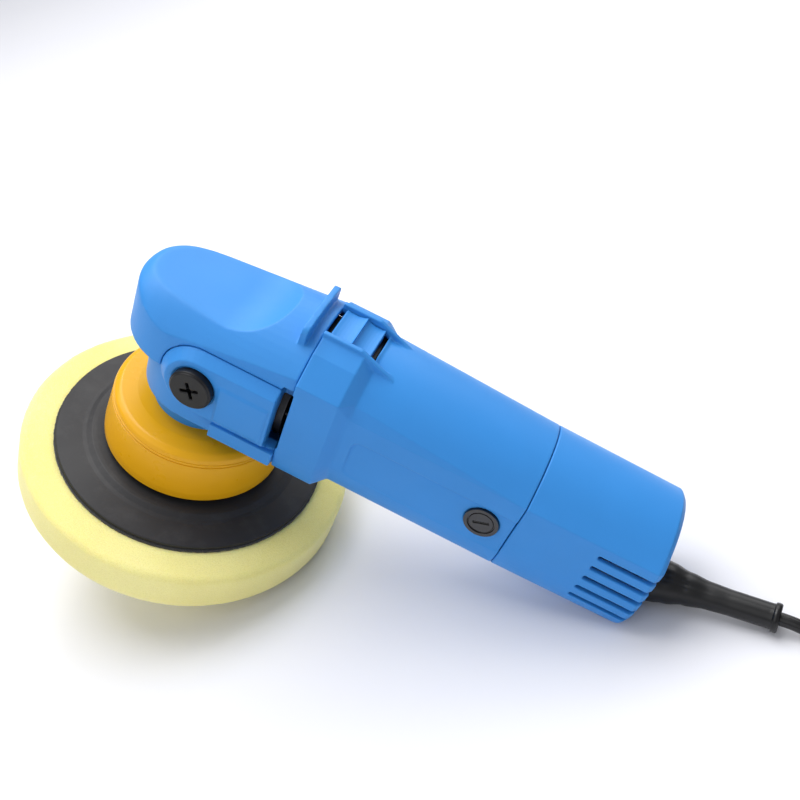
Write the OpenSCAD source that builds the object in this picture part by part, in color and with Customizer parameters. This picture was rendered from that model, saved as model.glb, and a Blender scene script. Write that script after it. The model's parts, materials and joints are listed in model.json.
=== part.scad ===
// Corded rotary polisher with a foam pad, lying tipped back on the pad's rim and its rear end.
// Everything is drawn in the tool's own frame and placed once by tool():
//   x runs from the spindle axis to the rear, y to the left, z up the spindle from the pad's face.

/* [Foam pad and backing plate] */
// Diameter of the foam pad
pad_d = 180; // [165:1:190]
// Thickness of the foam pad
pad_h = 29; // [27:0.5:30]
// Radius of the rounding at the foam pad's working edge
pad_edge_r = 9; // [4:0.5:11]
// Radius of the rounding at the foam pad's upper edge
pad_top_r = 6; // [3:0.5:8]
// Thickness of the hook-and-loop layer
loop_h = 1.5; // [1.2:0.1:1.8]
// Diameter of the backing plate
plate_d = 144; // [136:1:150]
// Thickness of the backing plate at its rim
plate_rim_h = 2; // [1.5:0.1:2.5]

/* [Guard and spindle] */
// Diameter of the yellow guard at its lower edge
guard_d = 96; // [92:1:98]
// Height of the guard's lower edge above the pad's face
guard_z = 39.5; // [38.5:0.5:41]
// Height of the guard's top above the pad's face
guard_top_z = 71; // [69:0.5:72]
// Diameter of the spindle's thread
spindle_thread_d = 14; // [12:1:14]

/* [Body] */
// Height of the motor's axis above the pad's face
motor_z = 110.5; // [110:0.1:111]
// Half width of the motor barrel
barrel_hw = 31; // [30.5:0.1:32]
// Half width of the front block
block_hw = 35; // [34.5:0.1:36]
// Distance from the spindle axis to the rear end
rear_x = 241; // [236:1:246]
// Distance from the spindle axis to the rear cover's seam
seam_x = 170; // [168:0.5:171]
// Distance from the spindle axis to the joint between head and motor housing
joint_x = 52.5; // [52:0.1:53]
// Height of the barrel's underside above the pad's face at the front
belly_z = 80; // [79:0.5:82]
// Wall thickness of the plastic housings
wall = 2.8; // [2.4:0.1:3]
// Radius of the head's nose, seen from above
nose_r = 33; // [32:0.5:34]

/* [Switch] */
// How far the slide switch travels
switch_travel = 2; // [1:0.1:2.2]

/* [Gears] */
// Teeth on the bevel gear
gear_teeth = 33; // [33:11:33]
// Teeth on the pinion
pinion_teeth = 11; // [11:1:11]
// Pitch radius of the bevel gear at its large end
gear_r = 21; // [21:1:21]

/* [Cord] */
// Diameter of the mains cord
cord_d = 6.5; // [6.2:0.1:7]

/* [Hidden] */

$fn = 64;
hull_fn = 32;
eps = 0.01;
gap = 0.25;             // assembly gap between separate pieces

// Pad stack, from the face up
loop_z = pad_h;
plate_z = pad_h + loop_h;
plate_r = plate_d / 2;
plate_step_r = 55;      // where the plate's rim zone steps up to its hub zone
hub_r = 19;
hub_top_z = 48;

// Barrel and block cross-sections
crown_z = 112;          // centre of the rounded top
chamfer_a = 46;         // the round top ends this many degrees from the vertical
shoulder_z = 132;       // where the chamfer meets the flat side
waist_z = 106;          // where the flat side starts to curve under
belly_w = 10;           // how far the side curves in before the flat underside
crown_front = 40;       // crown radius behind the block
crown_seam = 36.2;      // crown radius at the rear cover's seam
crown_rear = 35.1;      // crown radius at the rear end
rear_belly_z = belly_z + 1;
rear_chamfer = 4;
rear_edge = 2.4;        // chamfer round the rest of the rear end
rear_lean = 0.055;      // how much the rear end leans forward for its height
vent_n = 5;
relief_z = 97;          // height of the strain relief
block_end_x = 74;
deck_z = 155;           // flat deck around the switch

// Switch
window_x0 = joint_x - 1;
window_x1 = 78.5;
window_hw = 11;
button_x0 = 54.8;
button_x1 = 75.8;
button_hw = 10.5;
base_z = 145.8;
base_h = 2.6;
rod_z = 141;

// Head
cover_z = 110;          // lower edge of the head cover
housing_z = 81.5;       // lower edge of the gear housing
guard_seat_z = guard_top_z - 0.6;
nose_x = -9.8;          // centre of the head cover's round nose
bearing_r = 17.5;
dish_z = 143.2;         // floor of the shallow rest for the palm
dish_r = 36.7;
nose_curve = [[-43.5, 22.5], [-42, 26.2], [-39.6, 29.2], [-36.2, 31.7], [-32, 33.8], [-27, 35.4],
    [-20, 36.8], [-11, 37.9]];      // the cover's crown radius towards the nose, as [x, radius]
screw_r = 21.5;         // circle of the screws through the bearing plate and the guard

// Gear mesh
pinion_r = gear_r * pinion_teeth / gear_teeth;
tooth_h = 1.8;
tooth_up = 0.7;
tooth_share = 0.25;     // tooth width over tooth pitch
face_w = 7;
cone_a = atan(pinion_r / gear_r);
cone_len = norm([gear_r, pinion_r]);

// Motor
brush_x = 155.5;
stator_r = motor_z - belly_z - wall;
bearing_clear = 0.05;

// Handle bolts
bolt_x = 7;
bolt_z = 112;
bolt_face_y = 38;

// Rest pose: the pad's rounded edge and the rear end's lower edge stand on z = 0
pad_r = pad_d / 2;
edge_c = [pad_r - pad_edge_r, pad_edge_r];
heel = [rear_x - rear_chamfer, rear_belly_z];
heel_d = norm(heel - edge_c);
tilt = atan2(heel[1] - edge_c[1], heel[0] - edge_c[0]) + asin(pad_edge_r / heel_d);
lift = pad_edge_r - row_up(edge_c);
front_row_x = row_along([-edge_c[0], edge_c[1]]) - pad_edge_r;
rear_top = crown_z + crown_rear - rear_edge;
rear_row_x = row_along([rear_x - rear_lean * (rear_top - rear_belly_z), rear_top]);
shift = -(front_row_x + rear_row_x) / 2;

function row_along(p) = p[0] * cos(tilt) + p[1] * sin(tilt);
function row_up(p) = p[1] * cos(tilt) - p[0] * sin(tilt);

// Cord, in the frame the part rests in: it lies on z = 0 and is wound up behind the right-hand side
tail_r = 5;
relief_root = [row_along([rear_x, relief_z]) + shift, 0, row_up([rear_x, relief_z]) + lift];
relief_end = [222, -10.5, 7.5];
relief_len = norm(relief_end - relief_root);
cord_route = [relief_end, [228, -11.6, 6.9], [235, -13.3, 5.6], [242, -15.5, 4.4],
    [250, -18, 3.6], [260, -20.8, 3.3], [270, -22.8, 3.5], [281, -24, 4]];
coil_c = [292, 20];
coil_r = 37;          // middle of the turns
coil_w = 21;
coil_h = 27;
tail_route = [[336, 20, 24.5], [336, 28, 24], [336, 36, 22.4], [336, 44, 19.2], [336, 51, 15.2],
    [336, 58, 10.8], [336, 65, 7.2], [336, 72, 4.8], [336, 80, 3.4], [336, 87, 3.6],
    [336, 94, 4.8], [336, 101, 6.6], [336, 108, 8]];
plug_at = [336, 108];
plug_z = 8.5;           // half the plug's height
plug_len = 67;
pin_d = 4.8;
pin_len = 19;
pin_gap = 19;

module tool() {
    translate([shift, 0, lift]) rotate([0, tilt, 0]) children();
}

// Points on an arc about c, from angle a0 to a1
function arc(c, rx, rz, a0, a1, n) =
    [for (i = [0:n]) let (a = a0 + (a1 - a0) * i / n) [c[0] + rx * cos(a), c[1] + rz * sin(a)]];
function mirrored(half) = concat(half, [for (i = [len(half) - 1:-1:0]) [-half[i][0], half[i][1]]]);

// Half outline of the barrel as [y, z]: half width, crown radius, height of the underside
function barrel_half(hw, crown, belly) = concat(
    arc([0, crown_z], crown, crown, 88.6, 90 - chamfer_a, 16),
    [[hw, shoulder_z]],
    arc([hw - belly_w, waist_z], belly_w, waist_z - belly, 0, -90, 12));

// Half outline of the front block, drawn in by inset
function block_half(inset) = concat(
    [[13.5 - inset / 3, deck_z - inset], [22.5 - inset * 0.7, 151 - inset], [block_hw - inset, 140 - inset / 2]],
    arc([block_hw - 5, 99], 5 - inset / 2, 20 - inset, 0, -90, 6));

// A thin slab with an outline given as [y, z], at x, thick towards the rear
module slab(x, thick, outline) {
    translate([x, 0, 0]) rotate([90, 0, 90]) linear_extrude(thick) polygon(outline);
}

// A cylinder along x
module bar(x0, x1, r, z = motor_z, y = 0) {
    translate([x0, y, z]) rotate([0, 90, 0]) cylinder(h = x1 - x0, r = r);
}

// A cylinder along y, on both sides when both is true
module stud(x, z, y0, y1, r, both = true) {
    for (s = both ? [-1, 1] : [-1])
        translate([x, s * y0, z]) rotate([-s * 90, 0, 0]) cylinder(h = y1 - y0, r = r);
}

module tube_bar(x0, x1, ro, ri, z = motor_z) {
    difference() {
        bar(x0, x1, ro, z);
        bar(x0 - 1, x1 + 1, ri, z);
    }
}

module ring(z0, z1, ro, ri) {
    translate([0, 0, z0]) difference() {
        cylinder(h = z1 - z0, r = ro);
        translate([0, 0, -1]) cylinder(h = z1 - z0 + 2, r = ri);
    }
}

// ---- Pad, plate and spindle ----

module foam_pad() {
    color([0.94, 0.91, 0.6]) tool() rotate_extrude($fn = 96) polygon(concat(
        [[0, 0]],
        arc([pad_r - pad_edge_r, pad_edge_r], pad_edge_r, pad_edge_r, -90, 0, 6),
        arc([pad_r - pad_top_r, pad_h - pad_top_r], pad_top_r, pad_top_r, 0, 90, 5),
        [[0, pad_h]]));
}

module loop_layer() {
    color([0.2, 0.2, 0.2]) tool() translate([0, 0, loop_z]) cylinder(h = loop_h, r = plate_r + 1, $fn = 96);
}

module backing_plate() {
    rim_z = plate_z + plate_rim_h;
    color([0.24, 0.23, 0.23]) tool() rotate_extrude($fn = 96) polygon([
        [12, plate_z], [plate_r - 0.6, plate_z], [plate_r, plate_z + 0.6], [plate_r, rim_z - 0.6],
        [plate_r - 0.8, rim_z], [plate_step_r + 2, rim_z + 1.2], [plate_step_r - 1, rim_z + 3.2],
        [30, rim_z + 3.8], [hub_r + 2, rim_z + 7], [hub_r, rim_z + 10], [hub_r - 1, hub_top_z],
        [12, hub_top_z]]);
}

module plate_nut() {
    color([0.72, 0.72, 0.7]) tool() ring(plate_z + 1, hub_top_z + 1, 12, spindle_thread_d / 2);
}

module spindle() {
    color([0.75, 0.75, 0.76]) tool() {
        translate([0, 0, plate_z + 2]) cylinder(h = hub_top_z + 1 - plate_z - 2, r = spindle_thread_d / 2);
        translate([0, 0, hub_top_z + 1]) cylinder(h = 3, r = 12);
        translate([0, 0, hub_top_z + 4]) cylinder(h = 20, r = 8.5);
        translate([0, 0, hub_top_z + 24]) cylinder(h = 17.5, r = 7.5 - bearing_clear);
        translate([0, 0, hub_top_z + 41.5]) cylinder(h = 14, r = 6.5);
        translate([0, 0, hub_top_z + 55.5]) cylinder(h = 22, r = 4 - bearing_clear);
    }
}

// Teeth lie along a cone: x is the distance from the apex, y across, z the tooth's height
module tooth() {
    r1 = cone_len - face_w;
    pitch_out = 360 / gear_teeth * PI / 180 * gear_r;
    pitch_in = pitch_out * r1 / cone_len;
    translate([0, 0, tooth_up - tooth_h]) linear_extrude(tooth_h) polygon([
        [r1, -pitch_in * tooth_share / 2], [cone_len, -pitch_out * tooth_share / 2],
        [cone_len, pitch_out * tooth_share / 2], [r1, pitch_in * tooth_share / 2]]);
}

module bevel_gear() {
    drop = tooth_h - tooth_up - 0.2;
    outer = [cone_len * cos(cone_a), -cone_len * sin(cone_a) - drop];
    inner = [(cone_len - face_w) * cos(cone_a), -(cone_len - face_w) * sin(cone_a) - drop];
    color([0.55, 0.55, 0.57]) tool() translate([0, 0, motor_z]) {
        for (i = [0:gear_teeth - 1])
            rotate([0, 0, (i + 0.5) * 360 / gear_teeth]) rotate([0, cone_a, 0]) tooth();
        rotate_extrude() polygon([outer, inner, [9, inner[1]], [9, inner[1] - 1.5], [6.5, inner[1] - 1.5],
            [6.5, -18], [10, -18], [outer[0], outer[1] - 4]]);
    }
}

module lower_bearing() {
    color([0.7, 0.71, 0.72]) tool() ring(74, 85, bearing_r, 7.5);
}

module upper_bearing() {
    color([0.7, 0.71, 0.72]) tool() ring(119, 126, 9.5, 4);
}

module bearing_plate() {
    color([0.2, 0.4, 0.68]) tool() difference() {
        translate([0, 0, guard_seat_z]) cylinder(h = housing_z - guard_seat_z, r = 26);
        translate([0, 0, 60]) cylinder(h = 40, r = 9.5);
        translate([0, 0, 74]) cylinder(h = 20, r = bearing_r);
        around(4, 45, screw_r) translate([0, 0, 60]) cylinder(h = 40, r = 2);
        around(4, 45, screw_r) translate([0, 0, 60]) cylinder(h = 13, r = 3.4);
        around(4, 0, screw_r) translate([0, 0, 60]) cylinder(h = 19, r = 1.5);
    }
}

// n copies on a circle of radius r, the first one at angle a
module around(n, a, r) {
    for (i = [0:n - 1]) rotate([0, 0, a + i * 360 / n]) translate([r, 0, 0]) children();
}

module bearing_plate_screws() {
    color([0.15, 0.15, 0.16]) tool() around(4, 45, screw_r) {
        translate([0, 0, 70.6]) cylinder(h = 2.4, r = 3.3);
        translate([0, 0, 73]) cylinder(h = 15, r = 1.95);
    }
}

module guard_section(inset) {
    r = guard_d / 2 - inset;
    top = guard_top_z - inset;
    polygon(concat([[0, guard_z - 1], [r, guard_z - 1]], [[r, guard_z + 4], [r - 2, top - 6]],
        arc([r - 7, top - 5.5], 5, 5.5, 0, 90, 6), [[r - 12, top - 0.6], [0, top - 0.6]]));
}

module guard() {
    color([0.93, 0.68, 0.16]) tool() difference() {
        rotate_extrude($fn = 96) guard_section(0);
        rotate_extrude($fn = 96) guard_section(2.4);
        translate([0, 0, guard_z - 5]) cylinder(h = 5, r = 60);
        translate([0, 0, guard_top_z - 10]) cylinder(h = 12, r = 15);
        around(4, 0, screw_r) translate([0, 0, 60]) cylinder(h = 20, r = 1.55);
        groove(64.1);
        groove(66);
    }
}

// A fine line turned into the guard's side
module groove(z) {
    translate([0, 0, z]) rotate_extrude($fn = 96)
        translate([guard_d / 2 - 1.7, 0]) square([2, 0.6], center = true);
}

module guard_screws() {
    color([0.3, 0.3, 0.32]) tool() around(4, 0, screw_r) {
        translate([0, 0, guard_seat_z - 2.4 - 1.8]) cylinder(h = 1.8, r = 2.8);
        translate([0, 0, guard_seat_z - 2.4]) cylinder(h = 9, r = 1.45);
    }
}

// ---- Head ----

// Plan of the head: a round nose about x = cx and straight sides to x = end
module stadium(cx, r, end) {
    translate([cx, 0]) circle(r = r, $fn = 96);
    translate([cx, -r]) square([end - cx, 2 * r]);
}

// Outline of the boss round a handle bolt, as [x, z]
module boss_outline(grow, low) {
    translate([bolt_x, bolt_z]) circle(r = 15.5 + grow, $fn = hull_fn);
    translate([bolt_x, low]) square([joint_x - bolt_x, bolt_z + 15.5 + grow - low]);
}

module boss() {
    hull() {
        translate([0, 33, 0]) face_plate(0.1) boss_outline(4, 94.6);
        translate([0, bolt_face_y - 0.1, 0]) face_plate(0.1) boss_outline(-0.5, 96);
    }
}

// Raised panel behind the bolt
module boss_panel() {
    hull() {
        translate([19.4, bolt_face_y - 0.5, 96.9]) cube([26, 0.5, 23.6]);
        translate([20.6, bolt_face_y, 98.2]) cube([24, 0.9, 21]);
    }
}

module scale_y(s) {
    mirror([0, s < 0 ? 1 : 0, 0]) children();
}

// A plate standing in the x-z plane, thick along +y
module face_plate(thick) {
    translate([0, thick, 0]) rotate([90, 0, 0]) linear_extrude(thick) children();
}

module gear_housing() {
    color([0.22, 0.5, 0.86]) tool() difference() {
        union() {
            translate([0, 0, housing_z]) linear_extrude(cover_z - housing_z) stadium(1, 32, joint_x);
            for (s = [-1, 1]) scale_y(s) {
                boss();
                boss_panel();
                translate([0, 22, 0]) face_plate(11.05) boss_outline(3.8, 92);
                translate([19, 30, 84]) cube([joint_x - 19, 7, 8.8]);
            }
            translate([0, 0, 100]) cylinder(h = 30, r = 24);
            bar(22, 42, 27.5);
        }
        chamber();
        handle_screw_holes();
        exhaust_slots();
        for (s = [-1, 1]) scale_y(s) stud(bolt_x, bolt_z, 37.2, 40, 11.5, false);
    }
}

module chamber() {
    translate([0, 0, 88]) cylinder(h = 31, r = 24);
    translate([0, 0, 80]) cylinder(h = 5, r = bearing_r);
    translate([0, 0, 84]) cylinder(h = 5, r = 15);
    translate([0, 0, 118]) cylinder(h = 8, r = 9.5);
    bar(0, 27, 9);
    bar(26.2, 34, 14);
    bar(33, 45, 10);
    bar(41, 60, 29.3);
    translate([41, -29.3, 86]) cube([20, 58.6, 24]);
    around(4, 45, screw_r) translate([0, 0, 80]) cylinder(h = 8.5, r = 1.95);
}

module handle_screw_holes() {
    stud(bolt_x, bolt_z, 27, 45, 4);
}

module exhaust_slots() {
    for (s = [-1, 1]) translate([46.8, s * 34 - 8, 95.5]) cube([10, 16, 38]);
}

module head_solid(inset) {
    intersection() {
        hull() {
            translate([0, 0, 100]) linear_extrude(0.1) stadium(nose_x, nose_r + 1.1 - inset, joint_x + 1);
            translate([0, 0, 162]) linear_extrude(0.1) stadium(nose_x, nose_r - 1.4 - inset, joint_x + 1);
        }
        hull() {
            for (p = nose_curve) bar(p[0] + inset, p[0] + inset + 0.1, p[1] - inset, crown_z);
            bar(joint_x + 1, joint_x + 1.1, 43.6 - inset, crown_z);
        }
    }
}

module head_cover() {
    color([0.24, 0.55, 0.95]) tool() {
        difference() {
            head_solid(0);
            difference() {
                head_solid(wall);
                translate([44, -50, 80]) cube([3.2, 100, 100]);
                translate([-60, -50, dish_z - wall]) cube([105, 100, 40]);
            }
            translate([40, -29.3, 80]) cube([20, 58.6, motor_z - 80]);
            bar(40, 60, 29.3);
            translate([-60, -60, 60]) cube([120, 120, cover_z - 60]);
            translate([joint_x - 0.1, -60, 60]) cube([20, 120, 120]);
            for (s = [-1, 1]) scale_y(s) {
                translate([0, 21.7, 0]) face_plate(18.3) boss_outline(4 + gap, 88);
                translate([46.8, 26, 90]) cube([10, 20, 43.5]);
            }
            // shallow rest for the palm
            translate([-60, -40, dish_z]) cube([68, 80, 40]);
            translate([8, 40, dish_z + dish_r]) rotate([90, 0, 0]) cylinder(h = 80, r = dish_r, $fn = 128);
        }
        flange();
    }
}

// Low upright flange in front of the switch
module flange() {
    translate([44, 0, 0]) rotate([90, 0, 90]) linear_extrude(3.2) polygon(concat(
        [[-20, 144], [-20, 156]], arc([-17, 156.5], 3, 3, 180, 90, 4), [[0, 160.5]],
        arc([17, 156.5], 3, 3, 90, 0, 4), [[20, 156], [20, 144], [10, 148], [-10, 148]]));
}

module handle_bolts() {
    color([0.16, 0.15, 0.15]) tool() difference() {
        union() {
            stud(bolt_x, bolt_z, bolt_face_y - 0.8, bolt_face_y + 3, 10.8);
            stud(bolt_x, bolt_z, bolt_face_y + 3, bolt_face_y + 3.8, 10);
            stud(bolt_x, bolt_z, 28, bolt_face_y, 4);
        }
        for (s = [-1, 1], a = [-24, 66]) translate([bolt_x, s * (bolt_face_y + 3.6), bolt_z])
            rotate([0, a, 0]) cube([9.6, 5.4, 1.7], center = true);
    }
}

// ---- Motor housing and rear cover ----

module barrel(inset, x0, x1) {
    hull() {
        slab(x0, 0.1, mirrored(barrel_half(barrel_hw - inset, crown_front - inset, belly_z + inset)));
        slab(x1 - 0.1, 0.1, mirrored(barrel_half(barrel_hw - inset, crown_seam - inset, belly_z + inset)));
    }
}

module block(inset, x0) {
    hull() {
        slab(x0, block_end_x - x0, mirrored(block_half(inset)));
        slab(block_end_x + 6, 0.1,
            mirrored(barrel_half(barrel_hw - inset, crown_front - inset, belly_z + inset)));
    }
}

module switch_rails() {
    for (s = [-1, 1]) scale_y(s) translate([0, 11.2, 0]) face_plate(2.6)
        polygon([[joint_x, 150], [joint_x, 157.2], [72, 157.2], [90, 149.4], [88, 146], [70, 148]]);
}

module motor_housing() {
    color([0.24, 0.54, 0.93]) tool() difference() {
        union() {
            barrel(0, 76, seam_x - 0.1);
            block(0, joint_x + 0.1);
            switch_rails();
        }
        difference() {
            union() {
                barrel(wall, 76, seam_x + 1);
                block(wall, joint_x - 1);
            }
            rear_web();
            brush_bosses();
        }
        bar(160, 166, 9);
        bar(165, 180, 11);
        translate([window_x0, -window_hw, 144]) cube([window_x1 - window_x0, 2 * window_hw, 20]);
        stud(brush_x, motor_z, 10, 40, 6);
        stud(brush_x, motor_z, barrel_hw - 1.9, 40, 8.8);
        label_groove();
        translate([joint_x, -60, 95.5]) cube([0.7, 120, 38]);
    }
}

module rear_web() {
    difference() {
        bar(163, 173, 14);
        translate([0, 0, 0]) bar(172, 180, 20);
    }
    difference() {
        bar(163, 166, 29.5);
        for (a = [30:60:330]) rotate_about_motor(a) bar(160, 170, 4.5, motor_z + 20.5);
    }
}

module rotate_about_motor(a) {
    translate([0, 0, motor_z]) rotate([a, 0, 0]) translate([0, 0, -motor_z]) children();
}

module brush_bosses() {
    stud(brush_x, motor_z, 19, 30, 10.4);
}

// Shallow empty label field, on both sides
module label_groove() {
    for (s = [-1, 1]) scale_y(s) translate([0, barrel_hw - 1, 0]) face_plate(5) label_field(0);
}

module label_field(inset) {
    x0 = 86 + inset;
    z0 = 96.5 + inset;
    z1 = 121 - inset;
    translate([x0 + 4, z0]) square([seam_x - x0, z1 - z0]);
    translate([x0, z0 + 4]) square([8, z1 - z0 - 8]);
    for (z = [z0 + 4, z1 - 4]) translate([x0 + 4, z]) circle(r = 4, $fn = 24);
}

module rear_solid(inset) {
    front_x = inset > 0 ? seam_x - 1 : seam_x + 0.2;
    hull() {
        slab(front_x, 0.1, mirrored(barrel_half(barrel_hw - inset, crown_seam - inset, belly_z + inset)));
        lean() slab(rear_x - rear_chamfer - inset, 0.1,
            mirrored(barrel_half(barrel_hw - 0.5 - inset, crown_rear - inset, rear_belly_z + inset)));
        lean() slab(rear_x - rear_edge - inset, 0.1, mirrored(barrel_half(barrel_hw - 0.5 - inset,
            crown_rear - inset, rear_belly_z + inset + rear_chamfer - rear_edge)));
        lean() slab(rear_x - inset - 0.1, 0.1, mirrored(barrel_half(barrel_hw - 0.5 - inset - rear_edge,
            crown_rear - inset - rear_edge, rear_belly_z + inset + rear_chamfer)));
    }
}

// The rear end leans forward a little towards its top
module lean() {
    multmatrix([[1, 0, -rear_lean, rear_lean * rear_belly_z], [0, 1, 0, 0], [0, 0, 1, 0], [0, 0, 0, 1]])
        children();
}

module rear_cover() {
    color([0.23, 0.52, 0.9]) tool() difference() {
        rear_solid(0);
        difference() {
            rear_solid(wall);
            rear_bosses();
        }
        for (i = [0:vent_n - 1]) translate([209, -50, 91.3 + i * 8]) cube([30.5, 100, 2.8]);
        bar(rear_x - 12, rear_x + 4, tail_r, relief_z);
        rear_screw_places() bar(seam_x, rear_x - 7, 1.95, 0);
        rear_screw_places() bar(rear_x - 8, rear_x + 4, 4, 0);
    }
}

module rear_screw_places() {
    for (y = [-19, 19], z = [91, 131]) translate([0, y, z]) children();
}

module rear_bosses() {
    rear_screw_places() bar(seam_x + 4, rear_x, 5.2, 0);
}

module rear_screws() {
    color([0.2, 0.2, 0.21]) tool() rear_screw_places() {
        bar(rear_x - 8, rear_x - 5.4, 3.7, 0);
        bar(seam_x + 6, rear_x - 8, 1.9, 0);
    }
}

// ---- Motor ----

module rotor_shaft() {
    color([0.75, 0.75, 0.76]) tool() {
        bar(13, 26, 4);
        bar(26, 40, 5 - bearing_clear);
        bar(40, 164, 4.5);
        bar(164, 173, 4 - bearing_clear);
    }
}

module pinion() {
    back = cone_len * cos(cone_a);
    front = (cone_len - face_w) * cos(cone_a);
    root_b = cone_len * sin(cone_a) - tooth_h + tooth_up + 0.15;
    root_f = (cone_len - face_w) * sin(cone_a) - tooth_h + tooth_up + 0.15;
    color([0.6, 0.6, 0.62]) tool() translate([0, 0, motor_z]) {
        for (i = [0:pinion_teeth - 1])
            rotate([i * 360 / pinion_teeth, 0, 0]) rotate([180, 0, 0]) rotate([0, -cone_a, 0]) tooth();
        difference() {
            rotate([0, 90, 0]) union() {
                translate([0, 0, front]) cylinder(h = back - front, r1 = root_f, r2 = root_b);
                translate([0, 0, back]) cylinder(h = 3.5, r = root_b);
            }
            rotate([0, 90, 0]) cylinder(h = 60, r = 4);
        }
    }
}

module front_bearing() {
    color([0.7, 0.71, 0.72]) tool() tube_bar(26.2, 33.8, 14, 5);
}

module rear_bearing() {
    color([0.7, 0.71, 0.72]) tool() tube_bar(166, 172.8, 11, 4);
}

module fan() {
    color([0.1, 0.1, 0.11]) tool() difference() {
        union() {
            bar(45, 50, 28.3);
            bar(48, 60, 8);
            for (a = [0:30:330]) rotate_about_motor(a) translate([50, -0.8, motor_z + 7])
                cube([8, 1.6, 18]);
        }
        bar(40, 70, 4.5);
    }
}

module armature() {
    color([0.5, 0.5, 0.52]) tool() difference() {
        tube_bar(80, 120, 16.5, 4.5);
        for (a = [0:30:330]) rotate_about_motor(a) translate([79, -0.8, motor_z + 14.4]) cube([42, 1.6, 4]);
    }
}

module windings() {
    color([0.72, 0.36, 0.16]) tool() {
        tube_bar(70, 80, 14, 4.5);
        tube_bar(120, 131, 14, 4.5);
    }
}

module commutator() {
    color([0.75, 0.45, 0.25]) tool() difference() {
        tube_bar(143, 162, 10.5, 4.5);
        for (a = [0:15:345]) rotate_about_motor(a) translate([146, -0.2, motor_z + 9.9]) cube([17, 0.4, 2]);
    }
}

module baffle() {
    color([0.12, 0.12, 0.13]) tool() tube_bar(61, 63.5, 27.5, 17);
}

module stator() {
    color([0.45, 0.45, 0.47]) tool() difference() {
        bar(78, 122, stator_r);
        bar(77, 123, 17.3);
        for (s = [-1, 1]) translate([77, -13, motor_z + s * 19.5 - 2]) cube([46, 26, 4]);
    }
}

module field_coils() {
    color([0.7, 0.34, 0.15]) tool() for (x = [68.5, 122]) difference() {
        bar(x, x + 9.5, 25);
        bar(x - 1, x + 11, 17.3);
        translate([x - 1, -30, motor_z - 6]) cube([12, 60, 12]);
    }
}

module brush_holders() {
    color([0.78, 0.62, 0.3]) tool() for (s = [-1, 1]) scale_y(s) difference() {
        stud(brush_x, motor_z, 12, 28.6, 6, false);
        translate([brush_x - 3.2, -40, motor_z - 4.2]) cube([6.4, 40, 8.4]);
    }
}

module carbon_brushes() {
    color([0.13, 0.13, 0.14]) tool() for (s = [-1, 1])
        translate([brush_x - 3.1, s > 0 ? 10.6 : -22.6, motor_z - 4.1]) cube([6.2, 12, 8.2]);
}

module brush_springs() {
    color([0.7, 0.7, 0.68]) tool() difference() {
        stud(brush_x, motor_z, 22.6, 28.6, 2.8);
        stud(brush_x, motor_z, 20, 30, 2);
    }
}

module brush_caps() {
    color([0.05, 0.05, 0.055]) tool() difference() {
        union() {
            stud(brush_x, motor_z, barrel_hw - 1.9, barrel_hw + 0.2, 8.6);
            stud(brush_x, motor_z, barrel_hw - 2.4, barrel_hw - 1.9, 5.8);
        }
        difference() {
            stud(brush_x, motor_z, barrel_hw - 0.7, barrel_hw + 1, 6.7);
            stud(brush_x, motor_z, barrel_hw - 1, barrel_hw - 0.1, 5.9);
        }
        for (s = [-1, 1]) translate([brush_x, s * (barrel_hw + 0.1), motor_z])
            rotate([0, -24, 0]) cube([8, 2.2, 1.5], center = true);
    }
}

// ---- Switch ----

module slide_switch() {
    mid = 66;
    color([0.3, 0.6, 0.97]) tool() translate([0, -button_hw, 0]) face_plate(2 * button_hw)
        polygon(concat([[button_x0, base_z + base_h], [button_x0, 154.6]],
            arc([59.5, 168.4], 13.4, 13.4, -108, -62, 6), [[mid, 157.6]],
            arc([72.3, 167.2], 13.2, 13.2, -118, -75, 6), [[button_x1, 154.2], [button_x1, base_z + base_h]]));
}

module slider_base() {
    color([0.08, 0.08, 0.09]) tool() translate([50.8, -12.5, base_z]) cube([26.7, 25, base_h]);
}

module link_rod() {
    color([0.1, 0.1, 0.11]) tool() {
        translate([62, -3, rod_z]) cube([126, 6, 3.2]);
        translate([62, -3, rod_z]) cube([8, 6, base_z - rod_z]);
        translate([182, -3, rod_z - 3.5]) cube([6, 6, 4]);
    }
}

module switch_module() {
    color([0.1, 0.1, 0.11]) tool() difference() {
        translate([178, -13, 113]) cube([26, 26, 27]);
        translate([177, -3.5, 137]) cube([14, 7, 4]);
    }
}

// ---- Cord ----

module cord_clamp() {
    color([0.12, 0.12, 0.13]) tool() difference() {
        translate([213, -14, relief_z]) cube([9, 28, 8.5]);
        bar(210, 230, tail_r, relief_z);
        for (y = [-10, 10]) translate([217.5, y, 80]) cylinder(h = 40, r = 1.6);
    }
}

module clamp_screws() {
    color([0.6, 0.6, 0.6]) tool() for (y = [-10, 10]) translate([217.5, y, relief_z]) {
        translate([0, 0, 8.5]) cylinder(h = 1.6, r = 2.8);
        translate([0, 0, -6]) cylinder(h = 14.5, r = 1.5);
    }
}

// Points the +z axis of its children from a along the line to b
module aim(a, b) {
    d = b - a;
    translate(a) rotate([0, acos(d[2] / norm(d)), atan2(d[1], d[0])]) children();
}

module strain_relief() {
    color([0.09, 0.09, 0.09]) {
        tool() bar(212, rear_x + 3, tail_r, relief_z);
        difference() {
            aim(relief_root, relief_end) {
                sphere(r = 12);
                rotate_extrude() polygon([[0, 0], [11.8, 2], [10.4, 14], [8.4, 23], [6.9, 32], [6.3, 42],
                    [6.2, relief_len - 3], [7.2, relief_len - 2.6], [7.2, relief_len], [0, relief_len]]);
            }
            tool() lean() translate([rear_x - 40, -30, rear_belly_z - 30]) cube([40, 60, 80]);
        }
    }
}

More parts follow.
